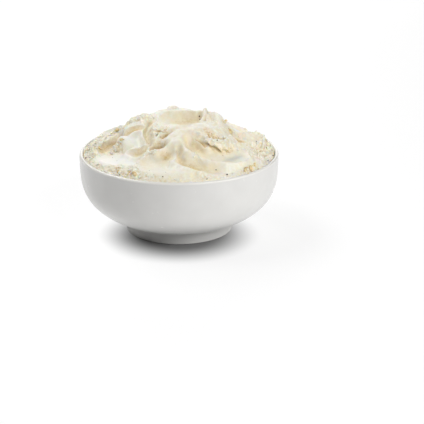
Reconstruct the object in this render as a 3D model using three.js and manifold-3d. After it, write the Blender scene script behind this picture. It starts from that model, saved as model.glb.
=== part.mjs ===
// A round white serving bowl on a foot ring, heaped with mashed potato that a spoon has swirled into
// troughs, crests and soft folds. Millimetres, +Z up, origin at the middle of the foot ring's base,
// with +Y towards the back of the heap.
import * as THREE from "three";
import { mergeVertices } from "three/addons/utils/BufferGeometryUtils.js";
import Module from "manifold-3d";

// ---- driving dimensions -------------------------------------------------------------------------
const RIM_R = 110; // outer radius of the bowl's rim
const BOWL_H = 88; // height of the rim above the table
const FOOT_R = 59.5; // outer radius of the foot ring
const FOOT_H = 13; // height of the foot ring
const FOOT_W = 6; // width of the foot ring at its base
const RECESS_H = 8.5; // depth of the hollow inside the foot ring
const WALL = 4.2; // thickness of the bowl's wall
const BOWL_SIDES = 64;
const SIDE_SPREAD = 3.5; // how flat the side runs out of the foot
const SIDE_CORNER = 1.3; // how round it turns upright
const GAP = 0.4; // clearance between the mash and the bowl's wall
const FOOT_BEVEL = 3; // how far the foot's inner face slants before it meets the recess
const FOOT_CORNER = 2; // width of the rounded corner at the foot's outer edge

const LIP_R = WALL / 2;
const BODY_H = BOWL_H - LIP_R - FOOT_H; // height over which the side curves

// ---- the bowl -----------------------------------------------------------------------------------
// The side runs flat out of the foot and turns upright at the rim. `t` is the share of its height and
// `inset` how far the curve is moved into the clay, so that one formula gives both faces.
function sideCurve(t, inset) {
  const radius = (u) => FOOT_R + (RIM_R - FOOT_R) * (1 - (1 - u) ** SIDE_SPREAD) ** (1 / SIDE_CORNER);
  const step = 1e-4;
  const t0 = Math.max(t - step, 0);
  const t1 = Math.min(t + step, 1);
  const dr = radius(t1) - radius(t0);
  const dz = (t1 - t0) * BODY_H;
  const length = Math.hypot(dr, dz);
  return [radius(t) - (inset * dz) / length, FOOT_H + t * BODY_H + (inset * dr) / length];
}

const SIDE_STEPS = 11;
const LIP_STEPS = 4; // over the half round of the rim; an even number reaches its top
const sideShare = (i) => (i / SIDE_STEPS) ** 1.7; // closer together where the side bends most

function bowlProfile() {
  const points = [
    [0, RECESS_H],
    [FOOT_R - FOOT_W - FOOT_BEVEL, RECESS_H],
    [FOOT_R - FOOT_W - FOOT_BEVEL / 3, RECESS_H - (FOOT_BEVEL * 2) / 3],
    [FOOT_R - FOOT_W, 0],
    [FOOT_R - FOOT_CORNER, 0],
    [FOOT_R - FOOT_CORNER * 0.25, FOOT_CORNER * 0.6],
  ];
  for (let i = 0; i <= SIDE_STEPS; i++) points.push(sideCurve(sideShare(i), 0));
  const [lipX, lipZ] = [RIM_R - LIP_R, BOWL_H - LIP_R];
  for (let i = 1; i < LIP_STEPS; i++) {
    const a = (Math.PI * i) / LIP_STEPS;
    points.push([lipX + LIP_R * Math.cos(a), lipZ + LIP_R * Math.sin(a)]);
  }
  for (let i = SIDE_STEPS; i >= 0; i--) points.push(sideCurve(sideShare(i), WALL));
  points.push([0, sideCurve(0, WALL)[1]]);
  return points.map(([r, z]) => new THREE.Vector2(r, z));
}

function bowl() {
  return new THREE.LatheGeometry(bowlProfile(), BOWL_SIDES).rotateX(Math.PI / 2);
}

// ---- the mash's surface -------------------------------------------------------------------------
const MASH_R = sideCurve(1, WALL + GAP)[0]; // radius of the mash at the bowl's rim
const EDGE_DROP = 0.3; // how far under the rim the mash meets the wall
const MOUND_H = 19.5; // the low mound that fills the bowl to its wall
const HEAP_H = 17.5; // the heap on top of the mound
const HEAP_RX = 58; // where the heap falls away to half its height, sideways
const HEAP_RY = 74; // and front to back
const HEAP_X = -2; // the heap's middle
const HEAP_Y = -8;
const EDGE_BAND = 8.4; // width of the band in which the mash settles to the wall's level
const PATH_STEPS = 24;
const GOLDEN = 2.399963; // golden angle in radians
const WAVES = 5; // sine waves in a layer of noise
// Layers of wandering noise, each [size, wavelength, seed]. An unsteady hand sways every stroke; the
// heap is lumpy; the mash meets the wall along an uneven line.
const SWAY_X = [[1.5, 34, 0.4], [0.6, 12, 1.9]];
const SWAY_Y = [[1.5, 34, 3.1], [0.6, 12, 4.4]];
const LUMPS = [[1.4, 22, 5], [0.8, 9, 2]];
const UNEVEN_EDGE = [[0.7, 20, 7], [0.4, 6, 6]];
const FOLD_SOFTNESS = 1.5; // how softly a fold blends into what it lies on

const clamp = (value) => Math.min(Math.max(value, 0), 1);
const ease = (value) => clamp(value) ** 2 * (3 - 2 * clamp(value));

// The value at t of the parabola that runs through a start, a middle and an end value.
function through([start, middle, end], t) {
  return start * (1 - t) * (1 - 2 * t) + 4 * middle * t * (1 - t) + end * t * (2 * t - 1);
}

// Smooth wandering noise, about -1 to 1: sine waves in directions a golden angle apart.
function wander(x, y, wavelength, seed) {
  const waveShare = 0.32;
  let total = 0;
  for (let k = 0; k < WAVES; k++) {
    const a = GOLDEN * (k + 1) + seed;
    const f = ((2 * Math.PI) / wavelength) * (0.75 + 0.17 * k);
    total += Math.sin(f * (x * Math.cos(a) + y * Math.sin(a)) + 1.7 * seed * (k + 1));
  }
  return total * waveShare;
}

function waver(layers, x, y) {
  let total = 0;
  for (const [size, wavelength, seed] of layers) total += size * wander(x, y, wavelength, seed);
  return total;
}

// A stroke of the spoon follows a path through three places [x, y, h], h being its height above the
// rim. Its other sizes are triples too, for its start, middle and end.
function stroke(kind, path, width, sizes) {
  const line = [];
  for (let i = 0; i <= PATH_STEPS; i++) {
    const t = i / PATH_STEPS;
    line.push([0, 1].map((axis) => through(path.map((place) => place[axis]), t)));
  }
  return { kind, line, height: path.map((place) => place[2]), width, ...sizes };
}

// A fold is a rounded ribbon laid on what is there, `thick` lower at its edges than along its crest.
const fold = (path, width, thick, sizes = {}) => stroke(raiseFold, path, width, { thick, ...sizes });

// A scoop is a trough with a lip on its left and on its right, seen along the path.
const scoop = (path, width, left, right, sizes = {}) =>
  stroke(cutScoop, path, width, { left, right, ...sizes });

// Where a place lies beside a stroke: how far along, how far off, and on which side (1 left, -1 right).
function beside(x, y, { line }) {
  const best = { t: 0, off: Infinity, side: 0, towards: [0, 0] };
  for (let i = 0; i < PATH_STEPS; i++) {
    const [ax, ay] = line[i];
    const [dx, dy] = [line[i + 1][0] - ax, line[i + 1][1] - ay];
    const length = Math.hypot(dx, dy);
    const u = clamp(((x - ax) * dx + (y - ay) * dy) / length ** 2);
    const [ox, oy] = [x - ax - u * dx, y - ay - u * dy];
    const off = Math.hypot(ox, oy);
    if (off < best.off) {
      const near = Math.max(off, 1e-6);
      best.t = (i + u) / PATH_STEPS;
      best.off = off;
      best.side = (dx * oy - dy * ox) / length / near;
      best.towards = [-ox / near, -oy / near];
    }
  }
  return best;
}

function raiseFold(z, place, { height, width, thick, power = 2 }) {
  const u = place.off / through(width, place.t);
  const crest = BOWL_H + through(height, place.t) - through(thick, place.t) * u ** power;
  const share = clamp(0.5 + (0.5 * (crest - z)) / FOLD_SOFTNESS);
  return z * (1 - share) + crest * share + 0.5 * FOLD_SOFTNESS * share * (1 - share);
}

function cutScoop(z, place, { height, width, left, right, wall = 3 }) {
  const { t, off, side } = place;
  const reach = through(width, t);
  const floor = BOWL_H + through(height, t);
  const [l, r] = [through(left, t), through(right, t)];
  const lip = r + (l - r) * ease((side + 1) / 2);
  if (off <= reach) return floor + lip * (off / reach) ** 2;
  return z + (floor + lip - z) * Math.exp(-(((off - reach) / wall) ** 1.5));
}

const STROKES = [
  // the crown
  fold([[-34, 16, 34.5], [-7, 24, 41.5], [32, 18, 36]], [14, 18, 13], [10, 12, 10]),
  // the crown's peak
  fold([[-17, 25, 37], [-8, 27, 45], [1, 25, 41]], [5, 6, 5], [6, 7, 6]),
  // the rough lump at the left of the crown
  fold([[-55, 11, 31], [-46, 13, 37.5], [-32, 11, 38]], [7, 8, 9], [8, 9, 9]),
  // the lump at the right of the crown
  fold([[35, 15, 41], [42, 8, 41], [46, -8, 33]], [6, 7, 8], [8, 9, 8]),
  // the mass above the large hollow
  fold([[27, -20, 32], [44, -31, 28], [65, -41, 18]], [15, 13, 9], [6, 7, 6]),
  // the shoulder behind the right hollow
  fold([[50, 22, 22.5], [58, 16, 22], [68, 6, 19]], [6, 7, 7], [5, 5, 5]),
  // the crumbs at the far left
  fold([[-78, 15, 13], [-72, 17, 17.5], [-63, 15, 21]], [5, 6, 6], [5, 6, 6]),
  // the broad fold that runs down the middle
  fold([[4, -14, 35], [9, -47, 31], [9, -74, 21.5]], [22, 17, 8], [6, 7, 7]),
  // three soft flakes left of the middle
  fold([[-31, -38, 29.5], [-24, -34, 32], [-16, -30, 33.5]], [3, 4, 3], [3, 3, 3]),
  fold([[-29, -29, 31.5], [-20, -27, 34], [-10, -28, 34]], [3, 4, 3], [3, 3, 3]),
  fold([[-27, -46, 27], [-19, -43, 29.5], [-11, -36, 32.5]], [3, 4, 3], [3, 3, 3]),
  // the ridge beside the middle fold
  fold([[-5, -50, 31], [-10, -68, 24.5], [-5, -81, 18]], [6, 6, 6], [6, 6, 6]),
  // the tongue that reaches the front of the rim
  fold([[-5, -78, 18.5], [-2, -88, 12.5], [1, -103, 3]], [6, 12, 21], [5, 5, 5], { power: 3 }),
  // behind the crown: a ridge and four troughs
  fold([[-42, 34, 29], [-10, 46, 31], [22, 38, 31]], [8, 10, 8], [6, 7, 6]),
  scoop([[-52, 50, 17], [-20, 66, 17], [16, 60, 21]], [9, 13, 9], [1, 2, 1], [7, 9, 8]),
  scoop([[28, 58, 20], [50, 48, 14], [68, 28, 13]], [7, 10, 7], [1, 2, 2], [6, 7, 4]),
  scoop([[-82, 26, 9], [-68, 50, 9], [-44, 74, 8]], [7, 9, 7], [1, 1, 1], [4, 6, 5]),
  scoop([[-28, 84, 7], [4, 88, 8], [36, 78, 9]], [7, 9, 7], [0, 1, 1], [6, 7, 5]),
  // the hollow under the crown
  scoop([[-12, 6, 33], [7, -1, 32], [22, 2, 33.5]], [15, 17, 11], [8, 10, 9], [0, 0, 2], { wall: 5 }),
  // the thin blade at the right end of that hollow
  fold([[25, -2, 36.5], [29.5, 8, 40.5], [31, 17, 45]], [4, 4, 4], [6, 8, 8]),
  // the smooth slope at the left
  scoop([[-54, -12, 24.5], [-49, -27, 20.5], [-45, -43, 15]], [11, 13, 11], [3, 3.5, 3], [0, -1, -1],
    { wall: 4 }),
  // the cleft beside that slope
  scoop([[-30, 2, 31], [-35.5, -13, 28], [-32, -40, 21]], [6, 3.5, 3], [4, 3, 3], [2, 2, 2]),
  // the hollow behind it
  scoop([[-57, -11, 22.5], [-50, -10, 25.5], [-42, -11, 28]], [6, 7, 5], [4, 5, 4], [1, 2, 2]),
  // the deep hollow at the far left
  scoop([[-85, -26, 6], [-78, -14, 8], [-70, -7, 10.5]], [6, 8, 6], [5, 7, 5], [1, 0.5, 1]),
  // the level pool in front of it
  scoop([[-84, -38, 4.5], [-70, -50, 6], [-52, -64, 8]], [11, 17, 12], [1.5, 2.5, 1], [0, 0, 0],
    { wall: 6 }),
  // the hollow under the slope
  scoop([[-49, -51, 10], [-43, -53, 9.5], [-35, -51, 13]], [8, 9.5, 7.5], [6, 9, 8], [0, 0, 0.5],
    { wall: 2.5 }),
  // the small dark hole, and the notch that leads into it
  scoop([[-26, -58, 17], [-22, -57, 15.5], [-18, -56, 17.5]], [3.5, 4.5, 3.5], [6, 7, 6],
    [2.5, 2.5, 2.5]),
  scoop([[-17, -46, 27], [-12, -41, 29], [-6, -35, 31.5]], [2.5, 3, 2], [2, 3, 2], [3, 3, 2],
    { wall: 2 }),
  // creases between the flakes
  scoop([[-26, -35, 30.5], [-19, -32, 31.5], [-12, -31, 33]], [1.5, 2, 1.5], [2, 2.5, 1.5], [1.5, 2, 1],
    { wall: 1.5 }),
  scoop([[-27, -43, 27.5], [-20, -38, 30], [-11, -36, 31.5]], [1.5, 2, 1.5], [2, 2.5, 1.5], [1.5, 2, 1],
    { wall: 1.5 }),
  // the curved trough beside the tongue
  scoop([[1, -66, 17], [14, -84, 8], [57, -86, 1]], [4, 6.5, 9], [6, 7, 3.5], [4, 3, 1]),
  // the hollow in front of the hole
  scoop([[-33, -75, 12], [-23, -76, 12.5], [-13, -71, 14.5]], [8, 9, 8], [5, 7.5, 8], [0, 0, 1]),
  // the smooth floor at the front left
  scoop([[-36, -84, 8], [-22, -90, 7.5], [-10, -93, 7.5]], [6, 8, 6], [0, 0, 1], [0, 0, 0], { wall: 8 }),
  // the hollow at the right, and its long flat end
  scoop([[56, 2, 21], [62, -10, 16.5], [69, -20, 13]], [5, 6, 5], [4, 4, 3], [8, 8, 5]),
  scoop([[67, -3, 14], [77, -3, 10], [87, 6, 9]], [10, 16, 10], [5, 8.5, 6], [6, 7, 5]),
  // the large hollow, with the mass above it hanging over its far lip
  scoop([[20, -56, 16.5], [44, -66, 9.5], [68, -52, 8.5]], [11, 13.5, 11], [8, 10, 6], [5, 4.5, 4],
    { lean: 6 }),
  // the dark start of that lip, and a crease above it
  scoop([[20, -45, 25.5], [25, -48, 23.5], [29, -52, 21]], [2.5, 3, 3], [2, 3, 3], [1.5, 1.5, 1],
    { wall: 2 }),
  scoop([[33, -34, 28], [40, -41, 24.5], [48, -36, 24]], [2, 3, 2], [3, 4, 2.5], [3, 4, 3], { wall: 2 }),
];

// ---- the mash as a solid ------------------------------------------------------------------------
const RINGS = 37; // on top; ring k has 6k points
const FLOOR_POINTS = 36; // in a ring near the bowl's floor
const SIDE_POINTS = 76; // and in one further up its wall
const OVERHANG_REACH = 9; // how far back from a lip the mash above it has slumped
const OVERHANG_START = 2.2; // width of the lip over which the slump begins
const OVERHANG_ENDS = 0.06; // share of the stroke, at each end, over which it dies away

// Where the mash at (x, y) ends up: its height, and a slump to the side beside an overhanging lip.
function surface(x, y) {
  const wx = x + waver(SWAY_X, x, y);
  const wy = y + waver(SWAY_Y, x, y);
  const settled = clamp((Math.hypot(x, y) - MASH_R + EDGE_BAND) / EDGE_BAND) ** 1.5;
  let z = heap(x, y) + waver(LUMPS, x, y);
  let [dx, dy] = [0, 0];
  for (const each of STROKES) {
    const place = beside(wx, wy, each);
    z = each.kind(z, place, each);
    if (each.lean) {
      const slump = each.lean * slumpShare(place, through(each.width, place.t)) * (1 - settled);
      dx += place.towards[0] * slump;
      dy += place.towards[1] * slump;
    }
  }
  const edge = BOWL_H - EDGE_DROP + waver(UNEVEN_EDGE, x, y);
  return [x + dx, y + dy, z * (1 - settled) + edge * settled];
}

function heap(x, y) {
  const q = Math.min(Math.hypot(x, y) / MASH_R, 1);
  const u = Math.hypot((x - HEAP_X) / HEAP_RX, (y - HEAP_Y) / HEAP_RY);
  return BOWL_H - EDGE_DROP + MOUND_H * (1 - q ** 3) + HEAP_H / (1 + u ** 6);
}

// 1 just outside a scoop's left lip, fading away from it and towards the scoop's ends.
function slumpShare({ t, off, side }, reach) {
  const beyond = off - reach;
  const ends = ease(Math.min(t, 1 - t) / OVERHANG_ENDS);
  const fading = Math.exp(-((Math.max(beyond - OVERHANG_START, 0) / OVERHANG_REACH) ** 2));
  return ease(side) * ends * ease(beyond / OVERHANG_START) * fading;
}

// Joins a ring of points to the next one up by the triangles between them, in order of angle.
function zip(faces, lower, upper) {
  let [i, j] = [0, 0];
  while (i < lower.length || j < upper.length) {
    const a = lower[i % lower.length];
    const b = upper[j % upper.length];
    if (j === upper.length || (i < lower.length && (i + 1) / lower.length <= (j + 1) / upper.length)) {
      faces.push(a, lower[++i % lower.length], b);
    } else {
      faces.push(a, upper[++j % upper.length], b);
    }
  }
}

function mash() {
  const positions = [];
  const faces = [];
  const addRing = (count, place) => {
    const ring = [];
    for (let k = 0; k < count; k++) {
      positions.push(...place((2 * Math.PI * k) / count));
      ring.push(positions.length / 3 - 1);
    }
    return ring;
  };
  const rings = [];
  // up the bowl's side, then in over the top
  rings.push(addRing(1, () => [0, 0, sideCurve(0, WALL + GAP)[1]]));
  for (let i = 0; i < SIDE_STEPS - 1; i += 2) {
    const [r, z] = sideCurve(sideShare(i), WALL + GAP);
    const count = i < SIDE_STEPS / 2 ? FLOOR_POINTS : SIDE_POINTS;
    rings.push(addRing(count, (a) => [r * Math.cos(a), r * Math.sin(a), z]));
  }
  for (let ring = RINGS; ring >= 0; ring--) {
    const r = (MASH_R * ring) / RINGS;
    rings.push(addRing(Math.max(6 * ring, 1), (a) => surface(r * Math.cos(a), r * Math.sin(a))));
  }
  for (let i = 1; i < rings.length; i++) zip(faces, rings[i - 1], rings[i]);
  const geometry = new THREE.BufferGeometry();
  geometry.setAttribute("position", new THREE.Float32BufferAttribute(positions, 3));
  geometry.setIndex(faces);
  return geometry;
}

// ---- bits of browned skin that lie in the mash -----------------------------------------------------
// [x, y, length, width, turn]: each is a flat lump with few sides, half sunk.
const SKIN_T = 1.6;
const SKIN_BITS = [
  [-45, -91, 9, 4.5, -0.5],
  [-50, -87, 4, 3, 0.4],
  [-63, -80, 5, 2.4, 1.4],
  [-62, -25, 4, 3, 0.7],
  [-87, -20, 3.5, 2.4, 1.9],
  [-69, 16, 6, 5, 0.4],
  [55, 3, 7, 4.5, 2.6],
  [72, -73, 6, 2.6, 0.6],
  [77.5, -67, 6, 3, 0.9],
  [82, -60, 4.5, 2.6, 1],
  [-20, 72, 6, 4, 1.2],
  [52, 62, 5, 3.4, 2.4],
  [-58, 58, 5, 3, 0.5],
];

function skinBit([x, y, length, width, turn]) {
  const [px, py, pz] = surface(x, y);
  return new THREE.IcosahedronGeometry(1, 0)
    .scale(length / 2, width / 2, SKIN_T)
    .rotateZ(turn)
    .translate(px, py, pz);
}

const wasm = await Module();
wasm.setup();

function toSolid(geometry) {
  const bare = new THREE.BufferGeometry();
  bare.setAttribute("position", geometry.getAttribute("position"));
  if (geometry.index) bare.setIndex(geometry.index);
  const merged = mergeVertices(bare);
  const vertProperties = new Float32Array(merged.getAttribute("position").array);
  const triVerts = new Uint32Array(merged.index.array);
  return new wasm.Manifold(new wasm.Mesh({ numProp: 3, vertProperties, triVerts }));
}

function toGeometry(solid) {
  const { vertProperties, triVerts } = solid.getMesh();
  const geometry = new THREE.BufferGeometry();
  geometry.setAttribute("position", new THREE.BufferAttribute(vertProperties, 3));
  geometry.setIndex(new THREE.BufferAttribute(triVerts, 1));
  return geometry;
}

function mashWithSkin() {
  let solid = toSolid(mash());
  for (const bit of SKIN_BITS) solid = solid.add(toSolid(skinBit(bit)));
  return toGeometry(solid);
}

// ---- assembly -----------------------------------------------------------------------------------
function piece(name, geometry, material) {
  const mesh = new THREE.Mesh(geometry, new THREE.MeshStandardMaterial(material));
  mesh.name = name;
  return mesh;
}

const group = new THREE.Group();
group.add(piece("bowl", bowl(), { color: 0xe4e3df, roughness: 0.25, metalness: 0 }));
group.add(piece("mashed_potato", mashWithSkin(), { color: 0xf0e8cf, roughness: 0.5, metalness: 0 }));

export default group;
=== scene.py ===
"""A round white serving bowl heaped with mashed potato, dressed for the picture.

Sizes in the sculpting functions are in millimetres, with h above the bowl's rim; every Blender
object is in metres.
"""
import math
import random

import bmesh
import bpy
import numpy as np
from mathutils import Matrix, Vector, noise


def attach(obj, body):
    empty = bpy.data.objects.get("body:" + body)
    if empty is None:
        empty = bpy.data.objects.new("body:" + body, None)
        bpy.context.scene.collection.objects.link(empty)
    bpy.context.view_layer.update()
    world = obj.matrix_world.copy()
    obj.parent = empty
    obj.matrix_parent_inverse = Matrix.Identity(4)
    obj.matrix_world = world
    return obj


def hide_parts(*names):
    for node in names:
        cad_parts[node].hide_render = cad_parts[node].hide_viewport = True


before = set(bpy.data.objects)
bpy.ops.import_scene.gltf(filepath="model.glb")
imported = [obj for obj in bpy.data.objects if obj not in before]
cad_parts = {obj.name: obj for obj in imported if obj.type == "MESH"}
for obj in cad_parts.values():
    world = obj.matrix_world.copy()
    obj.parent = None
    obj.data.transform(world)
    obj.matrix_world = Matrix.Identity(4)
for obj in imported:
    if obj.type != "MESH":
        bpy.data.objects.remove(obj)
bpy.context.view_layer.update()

# ---- sizes, in millimetres ---------------------------------------------------------------------
MM = 0.001
RIM_R = 110.0  # outer radius of the bowl's rim
BOWL_H = 88.0  # height of the rim above the table
FOOT_R = 59.5  # outer radius of the foot ring
FOOT_H = 13.0  # height of the foot ring
FOOT_W = 6.0  # width of the foot ring at its base
FOOT_SLANT = 1.5  # how far the foot's inner face slants before it meets the recess
RECESS_ROUND, BASE_ROUND, FOOT_ROUND = 3, 1, 1.4  # how far the foot's three corners are rounded
RECESS_H = 8.5  # depth of the hollow inside the foot ring
WALL = 4.2  # thickness of the bowl's wall
GAP = 0.4  # clearance between the mash and the bowl's wall
SIDE_SPREAD = 3.5  # how flat the side runs out of the foot
SIDE_CORNER = 1.3  # how round it turns upright
SIDE_CROWDING = 1.7  # how much closer its steps are where it bends most
LIP_R = WALL / 2
BODY_H = BOWL_H - LIP_R - FOOT_H  # height over which the side curves
SIDE_STEPS = 40
LIP_STEPS = 12  # over the half round of the rim
CORNER_STEPS = 5
BOWL_SIDES = 240

EDGE_DROP = 0.3  # how far under the rim the mash meets the wall
EDGE_BAND = 8.4  # width of the band in which it settles to that
SETTLE_POWER = 1.5
MOUND_H = 19.5  # the low mound that fills the bowl to its wall
MOUND_POWER = 3
HEAP_H = 17.5  # the heap on top of the mound
HEAP_RX, HEAP_RY = 58.0, 74.0  # where the heap falls away to half its height
HEAP_X, HEAP_Y = -2.0, -8.0  # the heap's middle
HEAP_POWER = 6
RINGS = 148  # of the mash's top; ring k has 6k points
WALL_RING_SKIP = 3  # the mash's hidden side has a ring at every third step of the bowl's side
WALL_RING_SIDES = 24  # and at least this many points on each

# noise: each wave is (height, wavelength, seed)
SWAY_X = [(1.5, 34, 0.4), (0.6, 12, 1.9)]  # how far the strokes wander from their paths
SWAY_Y = [(1.5, 34, 3.1), (0.6, 12, 4.4)]
LUMPS = [(1.4, 22, 5), (0.8, 9, 2)]
UNEVEN_EDGE = [(0.7, 20, 7), (0.4, 6, 6)]
RAGGED_WAVE = (8, 2.7)  # wavelength and seed of the ragged lip
GOLDEN = 2.399963  # the golden angle, in radians
WANDER_WAVES = 5
WANDER_FIRST, WANDER_STEP = 0.75, 0.17  # frequencies of these waves, as shares of the named one
WANDER_SHIFT = 1.7
WANDER_SCALE = 0.32  # brings their sum to about -1 to 1


# ---- the bowl's section ------------------------------------------------------------------------
def side_radius(u):
    return FOOT_R + (RIM_R - FOOT_R) * (1 - (1 - u) ** SIDE_SPREAD) ** (1 / SIDE_CORNER)


def side_curve(t, inset):
    """Radius and height on the side at share t of its height, moved `inset` into the clay."""
    step = 1e-4
    t0, t1 = max(t - step, 0), min(t + step, 1)
    dr = side_radius(t1) - side_radius(t0)
    dz = (t1 - t0) * BODY_H
    length = math.hypot(dr, dz)
    return side_radius(t) - inset * dz / length, FOOT_H + t * BODY_H + inset * dr / length


def side_share(i):
    return (i / SIDE_STEPS) ** SIDE_CROWDING


MASH_R = side_curve(1, WALL + GAP)[0]


# ---- the spoon's strokes -----------------------------------------------------------------------
PATH_STEPS = 24  # straight pieces along each stroke
FOLD_SOFTNESS = 1.5  # how softly a fold blends into what it lies on
FOLD_SMOOTH, SCOOP_SMOOTH = 0.35, 1  # how smooth the spoon leaves each kind
CROSS_POWER = 2  # of the curve across a stroke
SCOOP_WALL = 3  # how far a scoop's lip takes to fall back to what lies outside
WALL_FALL = 1.5
SMOOTH_REACH, SMOOTH_FADE = 1.15, 0.35  # how far a stroke smooths, as shares of its width
# the least and most shade a stroke paints into the mash's colour; below 0 it paints light, and the
# mash turns paler
PAINTED_SHADE_LIMITS = (-1, 1.4)
PAINTED_SHADE_REACH = 0.8  # how far a stroke's painted shade and light spread, as a share of its width
CRACK_AT, CRACK_WIDTH = 0.97, 0.14  # the painted shadow in the gap under a hanging lip, in shares of the width
CRACK_START, CRACK_END = 0.1, 0.25  # and how it fades towards the stroke's ends
# the mash starts to lean OVERHANG_GAP outside the lip, leans fully OVERHANG_START further out, and
# over OVERHANG_REACH no more
OVERHANG_GAP, OVERHANG_START, OVERHANG_REACH = 0.3, 2.2, 9
OVERHANG_ENDS = 0.06  # share of the stroke over which it fades at either end
NO_DISTANCE = 1e-6  # stands for a distance of 0, which can't be divided by


def ease(u):
    """Smooth step from 0 to 1."""
    u = np.clip(u, 0, 1)
    return u * u * (3 - 2 * u)


def through(values, t):
    """The value at t of the parabola through a start, a middle and an end value."""
    start, middle, end = values
    return start * (1 - t) * (1 - 2 * t) + 4 * middle * t * (1 - t) + end * t * (2 * t - 1)


def wander(x, y, wavelength, seed):
    """Smooth wandering noise, about -1 to 1: sine waves in directions a golden angle apart."""
    total = 0.0
    for k in range(WANDER_WAVES):
        a = GOLDEN * (k + 1) + seed
        f = 2 * math.pi / wavelength * (WANDER_FIRST + WANDER_STEP * k)
        phase = WANDER_SHIFT * seed * (k + 1)
        total = total + np.sin(f * (x * math.cos(a) + y * math.sin(a)) + phase)
    return total * WANDER_SCALE


def waver(start, waves, x, y):
    """The start value with each wave of wandering noise added to it."""
    for height, wavelength, seed in waves:
        start = start + height * wander(x, y, wavelength, seed)
    return start


def stroke(kind, path, width, sizes):
    """A path through three places (x, y, h); triples hold a size at its start, middle and end."""
    t = np.linspace(0, 1, PATH_STEPS + 1)
    line = np.column_stack([through([p[axis] for p in path], t) for axis in (0, 1)])
    return dict(kind=kind, line=line, height=[p[2] for p in path], width=width, **sizes)


def fold(path, width, thick, **sizes):
    return stroke(raise_fold, path, width, dict(thick=thick, **sizes))


def scoop(path, width, left, right, **sizes):
    return stroke(cut_scoop, path, width, dict(left=left, right=right, **sizes))


def beside(x, y, line):
    """How far along a stroke a place lies, how far off, on which side, and the way back."""
    off = np.full(x.shape, np.inf)
    t, side, back_x, back_y = (np.zeros(x.shape) for _ in range(4))
    for i in range(PATH_STEPS):
        ax, ay = line[i]
        dx, dy = line[i + 1] - line[i]
        length = math.hypot(dx, dy)
        u = np.clip(((x - ax) * dx + (y - ay) * dy) / length**2, 0, 1)
        ox, oy = x - ax - u * dx, y - ay - u * dy
        distance = np.maximum(np.hypot(ox, oy), NO_DISTANCE)
        nearer = distance < off
        off = np.where(nearer, distance, off)
        t = np.where(nearer, (i + u) / PATH_STEPS, t)
        side = np.where(nearer, (dx * oy - dy * ox) / length / distance, side)
        back_x = np.where(nearer, -ox / distance, back_x)
        back_y = np.where(nearer, -oy / distance, back_y)
    return t, off, side, back_x, back_y


def raise_fold(z, t, off, side, k):
    """A ridge that falls away by `thick` over its width, blended into what it lies on."""
    u = off / through(k["width"], t)
    fall = through(k["thick"], t) * u ** k.get("power", CROSS_POWER)
    crest = BOWL_H + through(k["height"], t) - fall
    share = np.clip(0.5 + 0.5 * (crest - z) / FOLD_SOFTNESS, 0, 1)
    return z * (1 - share) + crest * share + FOLD_SOFTNESS * share * (1 - share) * 0.5


def cut_scoop(z, t, off, side, k):
    """A trough whose floor rises by `left` and `right` to its two lips."""
    reach = through(k["width"], t)
    floor = BOWL_H + through(k["height"], t)
    left, right = through(k["left"], t), through(k["right"], t)
    lip = right + (left - right) * ease((side + 1) / 2)
    beyond = np.maximum(off - reach, 0) / k.get("wall", SCOOP_WALL)
    outside = z + (floor + lip - z) * np.exp(-(beyond**WALL_FALL))
    inside = floor + lip * (off / reach) ** k.get("power", CROSS_POWER)
    return np.where(off <= reach, inside, outside)
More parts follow.
